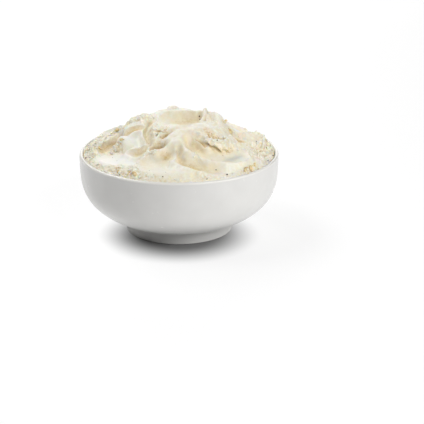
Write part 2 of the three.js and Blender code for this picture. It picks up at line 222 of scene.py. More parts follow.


# In order, each over the ones before: (path of three places, width, then a fold's thickness or a
# scoop's left and right lip). The named triple after these is the shade a stroke paints into the
# mash's colour, browner as it grows; below 0 it paints light, and the mash turns paler.
STROKES = [
    # the crown
    fold(((-34, 16, 34.5), (-7, 24, 41.5), (32, 18, 36)), (14, 18, 13), (10, 12, 10), smooth=0.6),
    # the crown's peak
    fold(((-17, 25, 37), (-8, 27, 45), (1, 25, 41)), (5, 6, 5), (6, 7, 6), smooth=0.3),
    # the rough lump at the left of the crown
    fold(((-54, 11, 30), (-46, 12, 37), (-32, 11, 38)), (7, 11, 10), (8, 8, 8), smooth=0.2),
    # its front
    fold(
        ((-61, 1, 26), (-54, 3, 30), (-47, 2, 33)), (4, 5, 4), (4, 4, 4),
        smooth=0.2, warm=(-0.5, -0.6, -0.5),
    ),
    # the lump at the right of the crown
    fold(((35, 15, 41), (42, 8, 41), (46, -8, 33)), (6, 7, 8), (8, 9, 8), smooth=0.2),
    # the mass above the large hollow
    fold(((27, -20, 32), (44, -31, 28), (65, -41, 18)), (15, 13, 9), (6, 7, 6), smooth=0.35),
    # the shoulder behind the right hollow
    fold(
        ((50, 22, 22.5), (58, 16, 22), (68, 6, 19)), (6, 7, 7), (5, 5, 5),
        smooth=0.2, warm=(-0.5, -0.5, -0.5),
    ),
    # the crumbs at the far left
    fold(((-78, 15, 13), (-72, 17, 17.5), (-63, 15, 21)), (5, 6, 6), (5, 6, 6), smooth=0),
    # the broad fold that runs down the middle
    fold(
        ((4, -14, 35), (9, -47, 31), (9, -74, 21.5)), (22, 17, 8), (6, 7, 7),
        smooth=1, warm=(0.15, 0.15, 0.1),
    ),
    # where it meets the mass on its right: smoothed, and no higher
    fold(((15, -36, 31), (24, -38, 29.5), (33, -38, 28.5)), (8, 8, 8), (4, 4, 4), smooth=0.6),
    # three soft flakes left of the middle
    fold(((-31, -38, 29.5), (-24, -34, 32), (-16, -30, 33.5)), (3, 4, 3), (3, 3, 3)),
    fold(((-29, -29, 31.5), (-20, -27, 34), (-10, -28, 34)), (3, 4, 3), (3, 3, 3)),
    fold(((-27, -46, 27), (-19, -43, 29.5), (-11, -36, 32.5)), (3, 4, 3), (3, 3, 3)),
    # the ridge beside the middle fold
    fold(((-5, -50, 31), (-10, -68, 24.5), (-5, -81, 18)), (6, 6, 6), (6, 6, 6), smooth=1),
    # the tongue that reaches the front of the rim
    fold(
        ((-5, -78, 18.5), (-2, -88, 12.5), (1, -103, 3)), (6, 12, 21), (5, 5, 5),
        power=3, smooth=0.9,
    ),
    # behind the crown: a ridge and four troughs
    fold(((-42, 34, 29), (-10, 46, 31), (22, 38, 31)), (8, 10, 8), (6, 7, 6)),
    scoop(
        ((-52, 50, 17), (-20, 66, 17), (16, 60, 21)), (9, 13, 9), (1, 2, 1), (7, 9, 8),
        warm=(0.4, 0.5, 0.4),
    ),
    scoop(
        ((28, 58, 20), (50, 48, 14), (68, 28, 13)), (7, 10, 7), (1, 2, 2), (6, 7, 4),
        warm=(0.5, 0.4, 0.6),
    ),
    scoop(
        ((-82, 26, 9), (-68, 50, 9), (-44, 74, 8)), (7, 9, 7), (1, 1, 1), (4, 6, 5),
        warm=(0.3, 0.4, 0.3),
    ),
    scoop(((-28, 84, 7), (4, 88, 8), (36, 78, 9)), (7, 9, 7), (0, 1, 1), (6, 7, 5)),
    # the hollow under the crown
    scoop(
        ((-12, 8, 33), (7, 3, 31.5), (22, 5, 33.5)), (12, 13, 9), (8, 11, 9), (0, 0, 2),
        wall=6, warm=(0.3, 0.8, 0.4),
    ),
    # the thin blade at the right end of that hollow
    fold(((23.5, -1, 36.5), (27.5, 8, 40.5), (29, 17, 45)), (4, 4, 4), (6, 8, 8), smooth=0.8),
    # the smooth slope at the left
    scoop(
        ((-54, -12, 24.5), (-49, -27, 20.5), (-45, -43, 15)),
        (11, 13, 11), (3, 3.5, 3), (0, -1, -1),
        wall=4, warm=(-0.7, -0.7, -0.3),
    ),
    # the cleft beside that slope
    scoop(
        ((-30, 2, 31), (-35.5, -13, 28), (-32, -40, 21)), (6, 3.5, 3), (4, 3, 3), (2, 2, 2),
        warm=(0.9, 0.5, 0.4),
    ),
    # the hollow behind it
    scoop(
        ((-57, -11, 22), (-50, -10, 25), (-42, -11, 27.5)), (6, 7, 5), (4.5, 5.5, 4.5), (1, 2, 2),
        warm=(1, 1.3, 0.8),
    ),
    # the deep hollow at the far left
    scoop(
        ((-84, -26, 6.3), (-77, -14, 8.5), (-69, -7, 11)), (6, 8, 6), (4, 4.5, 4), (1, 0.5, 1),
        warm=(0.8, 1, 0.7),
    ),
    # the level pool in front of it
    scoop(
        ((-81, -41, 4.7), (-70, -50, 6), (-52, -64, 8)), (9, 16, 12), (1.5, 2.5, 1), (0, 0, 0),
        wall=6, warm=(-0.3, -0.9, -0.7),
    ),
    # the hollow under the slope
    scoop(
        ((-49, -48, 12), (-43, -50, 11.5), (-36, -49, 15)), (7.5, 9, 7), (4.5, 6, 5.5), (0, 0, 0.5),
        wall=2.5, warm=(0.6, 0.95, 0.8),
    ),
    # the small hole, dark from its depth and from painted shade, and the notch that leads into it
    scoop(
        ((-26, -57, 14.5), (-22, -56, 12), (-18, -55, 14)), (4, 5, 4), (8.5, 11, 9), (3, 3.5, 3),
        warm=(1.1, 1.5, 1.1),
    ),
    scoop(
        ((-17, -46, 27), (-12, -41, 29), (-6, -35, 31.5)), (2.5, 3, 2), (2, 3, 2), (3, 3, 2),
        wall=2, warm=(0.5, 0.7, 0.3),
    ),
    # creases between the flakes
    scoop(
        ((-26, -35, 30.5), (-19, -32, 31.5), (-12, -31, 33)),
        (1.5, 2, 1.5), (2, 2.5, 1.5), (1.5, 2, 1),
        wall=1.5, smooth=0.1, warm=(0.6, 0.8, 0.4),
    ),
    scoop(
        ((-27, -43, 27.5), (-20, -38, 30), (-11, -36, 31.5)),
        (1.5, 2, 1.5), (2, 2.5, 1.5), (1.5, 2, 1),
        wall=1.5, smooth=0.1, warm=(0.5, 0.8, 0.5),
    ),
    # the smoothed edge at the right
    scoop(
        ((58, -80, 3), (71, -68, 5), (83, -52, 5)), (6, 7, 6), (0, 0, 0), (0, 0, 0),
        wall=5, smooth=0.8, warm=(-0.2, -0.2, -0.2),
    ),
    # the curved trough beside the tongue
    scoop(
        ((1, -68, 16), (14, -84, 8), (57, -86, 1)), (4, 6.5, 9), (4, 7, 3.5), (4, 3, 1),
        warm=(0, 0.9, -0.5),
    ),
    # the hollow in front of the hole
    scoop(
        ((-33, -75, 12), (-23, -76, 12.5), (-13, -71, 14.5)), (8, 9, 8), (5, 7.5, 8), (0, 0, 1),
        warm=(0.3, 0.1, 1),
    ),
    # the smooth floor at the front left
    scoop(
        ((-36, -84, 8), (-22, -90, 7.5), (-10, -93, 7.5)), (6, 8, 6), (0, 0, 1), (0, 0, 0),
        wall=8, warm=(0.4, 0.1, 0),
    ),
    # the hollow at the right, and its long flat end
    scoop(
        ((56, 2, 21), (62, -10, 16.5), (69, -20, 13)), (5, 6, 5), (4, 4, 3), (8, 8, 5),
        warm=(0.7, 0.9, 0.6),
    ),
    scoop(
        ((67, -3, 14), (77, -3, 10), (87, 6, 9)), (10, 16, 10), (5.5, 10, 8.5), (6, 7, 5),
        warm=(0.1, -0.5, -0.5),
    ),
    # the large hollow, with the mass above it hanging over its far lip
    scoop(
        ((20, -56, 16.5), (44, -66, 9.5), (68, -52, 8.5)), (11, 13.5, 11), (8, 10, 5), (5, 4, 1.5),
        power=3, lean=6, warm=(0.25, 0.05, -0.45), crack=0.65, ragged=2.6,
    ),
    # the start of that lip, dark from its depth and from painted shade
    scoop(
        ((20, -45, 25.5), (25, -48, 23.5), (29, -52, 21)), (2.5, 3, 3), (2, 3, 3), (1.5, 1.5, 1),
        wall=2, warm=(0.8, 1, 0.8),
    ),
    # the shaded foot of the lump at the right
    scoop(
        ((30, -26, 32), (34, -32, 29.5), (36, -41, 28)), (4, 6, 4), (2.5, 3.5, 2.5), (1.5, 2, 1.5),
        smooth=0.5, warm=(0.4, 0.8, 0.6),
    ),
    # a crease above the hanging lip
    scoop(
        ((33, -34, 28), (40, -41, 24.5), (48, -36, 24)), (2, 3, 2), (3, 4, 2.5), (3, 4, 3),
        wall=2, warm=(0.6, 0.9, 0.6),
    ),
]


def slump_share(t, off, side, reach):
    """1 just outside a scoop's left lip, fading away from it and towards the scoop's ends."""
    beyond = off - reach
    ends = ease(np.minimum(t, 1 - t) / OVERHANG_ENDS)
    fading = np.exp(-((np.maximum(beyond - OVERHANG_START, 0) / OVERHANG_REACH) ** 2))
    return ease(side) * ends * ease((beyond - OVERHANG_GAP) / OVERHANG_START) * fading


def sculpt(x, y):
    """The mash at (x, y): its place, how smooth the spoon left it, and its strokes' painted shade
    and light.
    """
    wx, wy = waver(x, SWAY_X, x, y), waver(y, SWAY_Y, x, y)
    r = np.hypot(x, y)
    settled = np.clip((r - MASH_R + EDGE_BAND) / EDGE_BAND, 0, 1) ** SETTLE_POWER
    q = np.minimum(r / MASH_R, 1)
    u = np.hypot((x - HEAP_X) / HEAP_RX, (y - HEAP_Y) / HEAP_RY)
    z = BOWL_H - EDGE_DROP + MOUND_H * (1 - q**MOUND_POWER) + HEAP_H / (1 + u**HEAP_POWER)
    z = waver(z, LUMPS, x, y)
    dx, dy, smooth, warm = (np.zeros(x.shape) for _ in range(4))
    for k in STROKES:
        t, off, side, back_x, back_y = beside(wx, wy, k["line"])
        z = k["kind"](z, t, off, side, k)
        reach = through(k["width"], t)
        inside = ease((SMOOTH_REACH * reach - off) / (SMOOTH_FADE * reach))
        is_scoop = k["kind"] is cut_scoop
        usual = SCOOP_SMOOTH if is_scoop else FOLD_SMOOTH
        smooth = smooth * (1 - inside) + k.get("smooth", usual) * inside
        if is_scoop:
            warm = warm * (1 - inside)
        # shade painted into the mash's colour round the stroke's path; below 0, painted light
        if "warm" in k:
            spread = np.exp(-((off / reach / PAINTED_SHADE_REACH) ** 2))
            glow = np.clip(through(k["warm"], t), *PAINTED_SHADE_LIMITS) * spread
            warm = warm + inside * glow
        # a line of painted shadow under the hanging lip
        if "crack" in k:
            under_lip = np.exp(-(((off / reach - CRACK_AT) / CRACK_WIDTH) ** 2))
            under_lip = under_lip * ease(side) * ease(t / CRACK_START)
            warm = warm + k["crack"] * under_lip * ease((1 - t) / CRACK_END)
        if "lean" in k:
            share = slump_share(t, off, side, reach)
            slump = k["lean"] * share * (1 - settled)
            z = z + k["ragged"] * share * wander(x, y, *RAGGED_WAVE)
            dx, dy = dx + back_x * slump, dy + back_y * slump
    edge = waver(BOWL_H - EDGE_DROP, UNEVEN_EDGE, x, y)
    z = z * (1 - settled) + edge * settled
    return x + dx, y + dy, z, smooth * (1 - settled), warm


# ---- helpers -----------------------------------------------------------------------------------
def new_object(name, vertices, faces):
    """A smooth-shaded object from places in millimetres."""
    mesh = bpy.data.meshes.new(name)
    mesh.from_pydata((np.asarray(vertices) * MM).tolist(), [], faces)
    mesh.update()
    mesh.polygons.foreach_set("use_smooth", [True] * len(mesh.polygons))
    thing = bpy.data.objects.new(name, mesh)
    bpy.context.scene.collection.objects.link(thing)
    return thing


def zip_rings(faces, lower, upper):
    """Joins two rings of points, outer and inner, by the triangles between them."""
    i = j = 0
    while i < len(lower) or j < len(upper):
        a, b = lower[i % len(lower)], upper[j % len(upper)]
        if j == len(upper) or (i < len(lower) and (i + 1) / len(lower) <= (j + 1) / len(upper)):
            i += 1
            face = (a, lower[i % len(lower)], b)
        else:
            j += 1
            face = (a, upper[j % len(upper)], b)
        # the step round a ring of one point has no area
        if len(set(face)) == 3:
            faces.append(face)


def noise_at(points, size, seed):
    """Perlin noise, about -1 to 1, at places in millimetres."""
    shift = Vector((seed, 2 * seed, 3 * seed))
    return np.array([noise.noise(Vector(p) / size + shift) for p in points])


def lay(thing, node, material):
    """Gives a piece its material, and puts it in place of a CAD node."""
    thing.data.materials.append(material)
    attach(thing, "root")
    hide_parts(node)


# ---- the bowl ----------------------------------------------------------------------------------
def rounded(corner, before, after, radius):
    """Places round a corner of the section, on a curve that starts and ends `radius` from it."""
    corner, before, after = (np.array(p, float) for p in (corner, before, after))
    first = corner + (before - corner) / np.linalg.norm(before - corner) * radius
    last = corner + (after - corner) / np.linalg.norm(after - corner) * radius
    for i in range(CORNER_STEPS + 1):
        t = i / CORNER_STEPS
        yield tuple((1 - t) ** 2 * first + 2 * t * (1 - t) * corner + t * t * last)


def bowl_profile():
    """Radius and height round the bowl's section, from the recess over the rim to the inside."""
    inner_foot = FOOT_R - FOOT_W
    recess = (inner_foot - FOOT_SLANT, RECESS_H)
    points = [(0, RECESS_H)]
    points += rounded(recess, (0, RECESS_H), (inner_foot, 0), RECESS_ROUND)
    points += rounded((inner_foot, 0), recess, (FOOT_R, 0), BASE_ROUND)
    points += rounded((FOOT_R, 0), (inner_foot, 0), (FOOT_R, FOOT_H), FOOT_ROUND)
    points += [side_curve(side_share(i), 0) for i in range(SIDE_STEPS + 1)]
    for i in range(1, LIP_STEPS):
        a = math.pi * i / LIP_STEPS
        points.append((RIM_R - LIP_R + LIP_R * math.cos(a), BOWL_H - LIP_R + LIP_R * math.sin(a)))
    points += [side_curve(side_share(i), WALL) for i in range(SIDE_STEPS, -1, -1)]
    points.append((0, side_curve(0, WALL)[1]))
    return points


def make_bowl():
    vertices, faces, rings = [], [], []
    for r, z in bowl_profile():
        count = BOWL_SIDES if r > 0 else 1
        rings.append(range(len(vertices), len(vertices) + count))
        for k in range(count):
            a = 2 * math.pi * k / count
            vertices.append((r * math.cos(a), r * math.sin(a), z))
    for lower, upper in zip(rings, rings[1:]):
        if len(lower) == len(upper):
            for k in range(BOWL_SIDES):
                n = (k + 1) % BOWL_SIDES
                faces.append((lower[k], lower[n], upper[n], upper[k]))
        else:
            zip_rings(faces, lower, upper)
    return new_object("bowl_glazed", vertices, faces)


# ---- the mash ----------------------------------------------------------------------------------
def disc_points():
    """Ring k, from the wall inwards, has 6k places; also their index ranges."""
    places, rings = [], []
    for ring in range(RINGS, -1, -1):
        count = max(6 * ring, 1)
        rings.append(range(len(places), len(places) + count))
        a = np.arange(count) * 2 * math.pi / count
        r = MASH_R * ring / RINGS
        places += list(zip(r * np.cos(a), r * np.sin(a)))
    return np.array(places), rings


# where the mash is crumbly: the middle of the place (x, y), and how far it reaches each way
CRUMBLY = [
    (-98, -14, 14, 32), (95, -8, 20, 34), (-58, -87, 17, 7), (-44, 12, 14, 7), (46, -37, 20, 7),
    (-70, 17, 10, 6), (-21, -36, 9, 8), (-68, -28, 6, 8),
]


def crumble(x, y):
    """How crumbly the mash is at (x, y), 0 to 1."""
    total = 0
    for cx, cy, rx, ry in CRUMBLY:
        total = total + np.exp(-(((x - cx) / rx) ** 2) - ((y - cy) / ry) ** 2)
    return np.minimum(total, 1)


SKY_CELLS = 213  # of 1 mm each way, enough for the whole mash
SKY_DIRECTIONS = 16
SKY_REACH = (1, 2, 3.2, 5, 7, 10, 14, 20)


def shade(x, y):
    """How much of the sky the mash around each place hides from it, 0 in the open; painted as
    shade.
    """
    n, margin = SKY_CELLS, max(SKY_REACH)
    line = np.arange(n + 2 * margin) - n // 2 - margin
    gx, gy = (g.ravel().astype(float) for g in np.meshgrid(line, line))
    height = sculpt(gx, gy)[2]
    height = np.where(np.hypot(gx, gy) < MASH_R, height, BOWL_H).reshape(len(line), len(line))
    inner = slice(margin, margin + n)
    here = height[inner, inner]
    hidden = np.zeros_like(here)
    for k in range(SKY_DIRECTIONS):
        a = 2 * math.pi * k / SKY_DIRECTIONS
        rise = np.zeros_like(here)
        for far in SKY_REACH:
            i, j = round(far * math.sin(a)), round(far * math.cos(a))
            seen = height[margin + i : margin + i + n, margin + j : margin + j + n]
            rise = np.maximum(rise, (seen - here) / math.hypot(i, j))
        hidden += rise / np.sqrt(1 + rise**2) / SKY_DIRECTIONS
    last = n - 1.001  # just inside the last cell
    i, j = np.clip(y + n // 2, 0, last), np.clip(x + n // 2, 0, last)
    i0, j0 = i.astype(int), j.astype(int)
    fi, fj = i - i0, j - j0
    near = hidden[i0, j0] * (1 - fj) + hidden[i0, j0 + 1] * fj
    far = hidden[i0 + 1, j0] * (1 - fj) + hidden[i0 + 1, j0 + 1] * fj
    return near * (1 - fi) + far * fi


PALER = 0.2  # how far below 0 the painted shading goes, where painted light makes the mash paler than in the open
GRAIN_NOISE = [(12, 5.5), (6, 3.1), (3.2, 9.7)]  # size and seed: coarse, medium and fine
MEDIUM_LUMP, FINE_LUMP, LUMP_BASE = 2.2, 1.3, 0.7
RELIEF, CRUMB_RELIEF, COARSE_RELIEF = 0.9, 0.9, 0.9
SMOOTH_COARSE, SMOOTH_MEDIUM = 0.25, 0.08  # the little that is left where it is smooth
CRUMB_ROUGHENS = 0.7
MEDIUM_CREASE, FINE_CREASE, FINE_CREASE_SHARE = 0.16, 0.12, 0.8
# shares of the painted shade: the strokes' own, more on crumbly places, and in creases
STROKE_PAINTED_SHADE, CRUMB_SHADE = 0.55, 0.06
CREASE_SHADE, CRUMB_CREASE_SHADE = 1.35, 1.5


def grained(x, y):
    """The finished surface at (x, y), how smooth it is, and shade painted by strokes, crumbs,
    creases.
    """
    x, y, z, smooth, warm = sculpt(x, y)
    top = np.column_stack([x, y, z])
    coarse, medium, fine = (noise_at(top, size, seed) for size, seed in GRAIN_NOISE)
    lumps = MEDIUM_LUMP * np.abs(medium) + FINE_LUMP * np.abs(fine) - LUMP_BASE
    creases = np.clip(MEDIUM_CREASE - np.abs(medium), 0, 1)
    creases = creases + FINE_CREASE_SHARE * np.clip(FINE_CREASE - np.abs(fine), 0, 1)
    crumbs = crumble(x, y)
    smooth = smooth * (1 - CRUMB_ROUGHENS * crumbs)
    relief = (RELIEF + CRUMB_RELIEF * crumbs) * lumps + COARSE_RELIEF * coarse
    relief = (1 - smooth) * relief
    top[:, 2] += relief + smooth * (SMOOTH_COARSE * coarse + SMOOTH_MEDIUM * medium)
    # shade painted into the creases between the lumps
    painted_crease_shade = (1 - smooth) * (CREASE_SHADE + CRUMB_CREASE_SHADE * crumbs) * creases
    return top, smooth, STROKE_PAINTED_SHADE * warm + CRUMB_SHADE * crumbs + painted_crease_shade


def make_mash():
    places, rings = disc_points()
    top, smooth, darker = grained(places[:, 0], places[:, 1])
    # painted shading: the sky hidden from each place painted in as shade, with the strokes' painted
    # shade and light
    painted_shading = np.clip(shade(places[:, 0], places[:, 1]) + darker, -PALER, 1)
    painted_shading = (painted_shading + PALER) / (1 + PALER)
    # the hidden side: down along the bowl's wall to its floor
    vertices, count = list(map(tuple, top)), 6 * RINGS
    faces = []
    for outer, inner in zip(rings, rings[1:]):
        zip_rings(faces, outer, inner)
    previous = rings[0]
    for i in range(SIDE_STEPS - 1, -1, -WALL_RING_SKIP):
        r, z = side_curve(side_share(i), WALL + GAP)
        sides = max(int(count * r / MASH_R / WALL_RING_SKIP), WALL_RING_SIDES)
        ring = range(len(vertices), len(vertices) + sides)
        for k in range(sides):
            a = 2 * math.pi * k / sides
            vertices.append((r * math.cos(a), r * math.sin(a), z))
        zip_rings(faces, ring, previous)
        previous = ring
    vertices.append((0, 0, side_curve(0, WALL + GAP)[1]))
    zip_rings(faces, [len(vertices) - 1], previous)
    thing = new_object("mash_heap", vertices, faces)
    for name, values in (("painted_shading", painted_shading), ("smooth", smooth)):
        data = np.zeros(len(vertices), np.float32)
        data[: len(values)] = values
        thing.data.attributes.new(name, "FLOAT", "POINT").data.foreach_set("value", data)
    return thing


# ---- materials ---------------------------------------------------------------------------------
# _NOISE: scale, detail and, if not 0.5, roughness; _GLOSS: least and most roughness of the surface;
# _BUMP: strength and height in metres; _LIGHT: share of the light that goes in, and how far its
# red, green and blue go
GLAZE_NOISE, GLAZE_GLOSS_NOISE, GLAZE_BUMP_NOISE = (45, 4), (160, 2), (90, 2)
GLAZE_GLOSS, GLAZE_BUMP = (0.2, 0.3), (0.05, 0.0004)
GLAZE_TONES = [(0.3, (0.612, 0.606, 0.588)), (0.7, (0.642, 0.636, 0.618))]
# the rim's colour: the same glaze painted whiter, as painted light on the bowl's top
PAINTED_RIM_LIGHT = (0.77, 0.755, 0.715, 1)
PAINTED_RIM_BAND = (2.8, 1.2)  # the painted light on the rim starts and is full this far under it, in millimetres
# by the painted shading, from painted light to painted shade; the first two stops are the ramp's
# ends
MASH_SHADING_TONES = [
    (0, (0.875, 0.865, 0.81)),
    (1.0, (0.57, 0.41, 0.18)),
    (0.15, (0.85, 0.834, 0.735)),
    (0.25, (0.85, 0.834, 0.735)),
    (0.42, (0.816, 0.778, 0.652)),
    (0.67, (0.785, 0.695, 0.50)),
]
MASH_NOISE, MASH_GLOSS_NOISE, MASH_BUMP_NOISE = (420, 4, 0.65), (300, 3), (700, 4, 0.6)
MASH_GLOSS, MASH_BUMP = (0.38, 0.55), (0.35, 0.0006)
MASH_LIGHT = (0.5, (1.0, 0.7, 0.3))
MASH_DEPTH, GRAIN_DEPTH = 0.0012, 0.0005  # how deep light goes in, in metres
SPECKLE_SMOOTH, SPECKLE_ROUGH = 0.5, 0.9  # how speckled it is, and how much more where rough
SKIN_TONES = [(0.3, (0.47, 0.33, 0.14)), (0.72, (0.85, 0.76, 0.52)), (0.52, (0.77, 0.61, 0.33))]
SKIN_NOISE, SKIN_BUMP_NOISE = (380, 4, 0.6), (900, 4)
SKIN_GLOSS, SKIN_BUMP = (0.35, 0.6), (0.5, 0.0005)
SKIN_LIGHT = (0.2, (1.0, 0.5, 0.2))
SKIN_DEPTH = 0.001
PEPPER_TONES = [(0.35, (0.03, 0.022, 0.015)), (0.7, (0.22, 0.16, 0.09))]
PEPPER_NOISE, PEPPER_GLOSS = (1200, 3, 0.6), (0.5, 0.8)
MIX_A, MIX_B, MIX_RESULT = 6, 7, 2  # the colour sockets of Blender's Mix node


def new_material(name):
    material = bpy.data.materials.new(name)
    material.use_nodes = True
    tree = material.node_tree
    return material, tree, tree.nodes["Principled BSDF"]


def ramp(tree, source, stops):
    """A colour ramp: the ramp's own two ends take the first two stops."""
    node = tree.nodes.new("ShaderNodeValToRGB")
    elements = node.color_ramp.elements
    for i, (position, color) in enumerate(stops):
        element = elements[i] if i < 2 else elements.new(position)
        element.position = position
        element.color = (*color, 1)
    tree.links.new(source, node.inputs["Fac"])
    return node.outputs["Color"]


def noise_node(tree, scale, detail=3, roughness=0.5):
    where = tree.nodes.new("ShaderNodeTexCoord")
    node = tree.nodes.new("ShaderNodeTexNoise")
    node.inputs["Scale"].default_value = scale
    node.inputs["Detail"].default_value = detail
    node.inputs["Roughness"].default_value = roughness
    tree.links.new(where.outputs["Object"], node.inputs["Vector"])
    return node.outputs["Fac"]


def bump(tree, shader, source, strength, distance):
    node = tree.nodes.new("ShaderNodeBump")
    node.inputs["Strength"].default_value = strength
    node.inputs["Distance"].default_value = distance
    tree.links.new(source, node.inputs["Height"])
    tree.links.new(node.outputs["Normal"], shader.inputs["Normal"])


def math_node(tree, operation, *values):
    node = tree.nodes.new("ShaderNodeMath")
    node.operation = operation
    for socket, value in zip(node.inputs, values):
        if isinstance(value, (int, float)):
            socket.default_value = value
        else:
            tree.links.new(value, socket)
    return node.outputs[0]


def attribute(tree, name):
    node = tree.nodes.new("ShaderNodeAttribute")
    node.attribute_name = name
    return node.outputs["Fac"]


def scale_range(tree, source, low, high, start=0, end=1):
    """The source's range from start to end, brought to low to high."""
    node = tree.nodes.new("ShaderNodeMapRange")
    node.inputs["From Min"].default_value = start
    node.inputs["From Max"].default_value = end
    node.inputs["To Min"].default_value = low
    node.inputs["To Max"].default_value = high
    tree.links.new(source, node.inputs["Value"])
    return node.outputs["Result"]


def let_light_in(shader, weight, radius, depth):
    shader.inputs["Subsurface Weight"].default_value = weight
    shader.inputs["Subsurface Radius"].default_value = radius
    shader.inputs["Subsurface Scale"].default_value = depth


def glaze_material():
    material, tree, shader = new_material("white_glaze")
    color = ramp(tree, noise_node(tree, *GLAZE_NOISE), GLAZE_TONES)
    # the rim is painted as a whiter ring of the same glaze: painted light on the bowl's top
    where = tree.nodes.new("ShaderNodeTexCoord")
    height = tree.nodes.new("ShaderNodeSeparateXYZ")
    tree.links.new(where.outputs["Object"], height.inputs["Vector"])
    start, full = ((BOWL_H - below) * MM for below in PAINTED_RIM_BAND)
    rim = scale_range(tree, height.outputs["Z"], 0, 1, start, full)
    mix = tree.nodes.new("ShaderNodeMix")
    mix.data_type = "RGBA"
    tree.links.new(rim, mix.inputs["Factor"])
    tree.links.new(color, mix.inputs[MIX_A])
    mix.inputs[MIX_B].default_value = PAINTED_RIM_LIGHT
    tree.links.new(mix.outputs[MIX_RESULT], shader.inputs["Base Color"])
    gloss = scale_range(tree, noise_node(tree, *GLAZE_GLOSS_NOISE), *GLAZE_GLOSS)
    tree.links.new(gloss, shader.inputs["Roughness"])
    bump(tree, shader, noise_node(tree, *GLAZE_BUMP_NOISE), *GLAZE_BUMP)
    return material


def mash_material(name, depth):
    material, tree, shader = new_material(name)
    # the painted shading sets the colour: painted shade, browner in hollows, and painted light
    # where it is low
    painted_shading = attribute(tree, "painted_shading")
    grain = math_node(tree, "SUBTRACT", noise_node(tree, *MASH_NOISE), 0.5)
    rough = math_node(tree, "SUBTRACT", 1, attribute(tree, "smooth"))
    share = math_node(tree, "MULTIPLY_ADD", rough, SPECKLE_ROUGH, SPECKLE_SMOOTH)
    speckle = math_node(tree, "MULTIPLY", grain, share)
    tone = math_node(tree, "ADD", painted_shading, speckle)
    tree.links.new(ramp(tree, tone, MASH_SHADING_TONES), shader.inputs["Base Color"])
    gloss = scale_range(tree, noise_node(tree, *MASH_GLOSS_NOISE), *MASH_GLOSS)
    tree.links.new(gloss, shader.inputs["Roughness"])
    let_light_in(shader, *MASH_LIGHT, depth)
    bump(tree, shader, noise_node(tree, *MASH_BUMP_NOISE), *MASH_BUMP)
    return material


def skin_material():
    material, tree, shader = new_material("browned_skin")
    patches = noise_node(tree, *SKIN_NOISE)
    tree.links.new(ramp(tree, patches, SKIN_TONES), shader.inputs["Base Color"])
    tree.links.new(scale_range(tree, patches, *SKIN_GLOSS), shader.inputs["Roughness"])
    let_light_in(shader, *SKIN_LIGHT, SKIN_DEPTH)
    bump(tree, shader, noise_node(tree, *SKIN_BUMP_NOISE), *SKIN_BUMP)
    return material


def pepper_material():
    material, tree, shader = new_material("pepper")
    patches = noise_node(tree, *PEPPER_NOISE)
    tree.links.new(ramp(tree, patches, PEPPER_TONES), shader.inputs["Base Color"])
    tree.links.new(scale_range(tree, patches, *PEPPER_GLOSS), shader.inputs["Roughness"])
    return material


# ---- lumps -------------------------------------------------------------------------------------
SLOPE_STEP = 0.8  # over which the mash's slope under a lump is taken, in millimetres
LUMP_NOISE = [(0.25, 0.7, 0), (0.125, 0.3, 7)]  # height, size and what its seed adds
LUMP_PAINTED_SHADE, LUMP_PAINTED_SHADE_FALL = 0.36, 0.18  # painted shade on a lump, less towards its top


def unit_lump(seed, subdivisions):
    """A round lump of radius 1 with an uneven skin: its places and faces."""
    mesh = bpy.data.meshes.new("lump")
    ball = bmesh.new()
    bmesh.ops.create_icosphere(ball, subdivisions=subdivisions, radius=1)
    ball.to_mesh(mesh)
    ball.free()
    places = np.array([v.co for v in mesh.vertices])
    faces = [tuple(p.vertices) for p in mesh.polygons]
    bpy.data.meshes.remove(mesh)
    swell = 1
    for height, size, shift in LUMP_NOISE:
        swell = swell + height * noise_at(places, size, seed + shift)
    return places * swell[:, None], faces


def scatter(name, lumps, subdivisions=2):
    """One joined object; a lump is (x, y, length, width, thickness, turn, sunk share, seed)."""
    spots = np.array([lump[:2] for lump in lumps], float)
    pz = sculpt(spots[:, 0], spots[:, 1])[2]
    top = grained(spots[:, 0], spots[:, 1])[0]
    ahead = sculpt(spots[:, 0] + SLOPE_STEP, spots[:, 1])[2]
    aside = sculpt(spots[:, 0], spots[:, 1] + SLOPE_STEP)[2]
    vertices, faces, painted_shading = [], [], []
    shapes = {}
    for i, (_, _, length, width, thick, turn, sunk, seed) in enumerate(lumps):
        if seed not in shapes:
            shapes[seed] = unit_lump(seed, subdivisions)
        places, lump_faces = shapes[seed]
        slope_x, slope_y = (ahead[i] - pz[i]) / SLOPE_STEP, (aside[i] - pz[i]) / SLOPE_STEP
        up = Vector((-slope_x, -slope_y, 1)).normalized()
        tilt = up.to_track_quat("Z", "Y").to_matrix()
        spin = np.array(tilt @ Matrix.Rotation(turn, 3, "Z"))
        sized = places * np.array([length / 2, width / 2, thick / 2])
        centre = top[i] + np.array(up) * thick * (0.5 - sunk)
        start = len(vertices)
        vertices += list(map(tuple, sized @ spin.T + centre))
        faces += [tuple(start + v for v in face) for face in lump_faces]
        # painted shade, darker towards each lump's foot
        painted_shading += list(LUMP_PAINTED_SHADE - LUMP_PAINTED_SHADE_FALL * places[:, 2])
    thing = new_object(name, vertices, faces)
    thing.data.attributes.new("painted_shading", "FLOAT", "POINT").data.foreach_set("value", painted_shading)
    return thing


# ---- toppings: browned skin, pepper and grains -------------------------------------------------
# x, y, length, width and turn of each bit of skin: the first ten after the photo
SKIN_BITS = [
    (-45, -91, 9, 4.5, -0.5),
    (-50, -87, 4, 3, 0.4),
    (-63, -80, 5, 2.4, 1.4),
    (-62, -25, 4, 3, 0.7),
    (-87, -20, 3.5, 2.4, 1.9),
    (-69, 16, 7, 6, 0.4),
    (55.5, 2, 9, 7, 2.6),
    (71.5, -73, 8, 3.4, 0.6),
    (77.5, -67, 8, 3.8, 0.9),
    (82, -60, 6, 3.2, 1),
    (-20, 72, 6, 4, 1.2),
    (52, 62, 5, 3.4, 2.4),
    (-58, 58, 5, 3, 0.5),
]
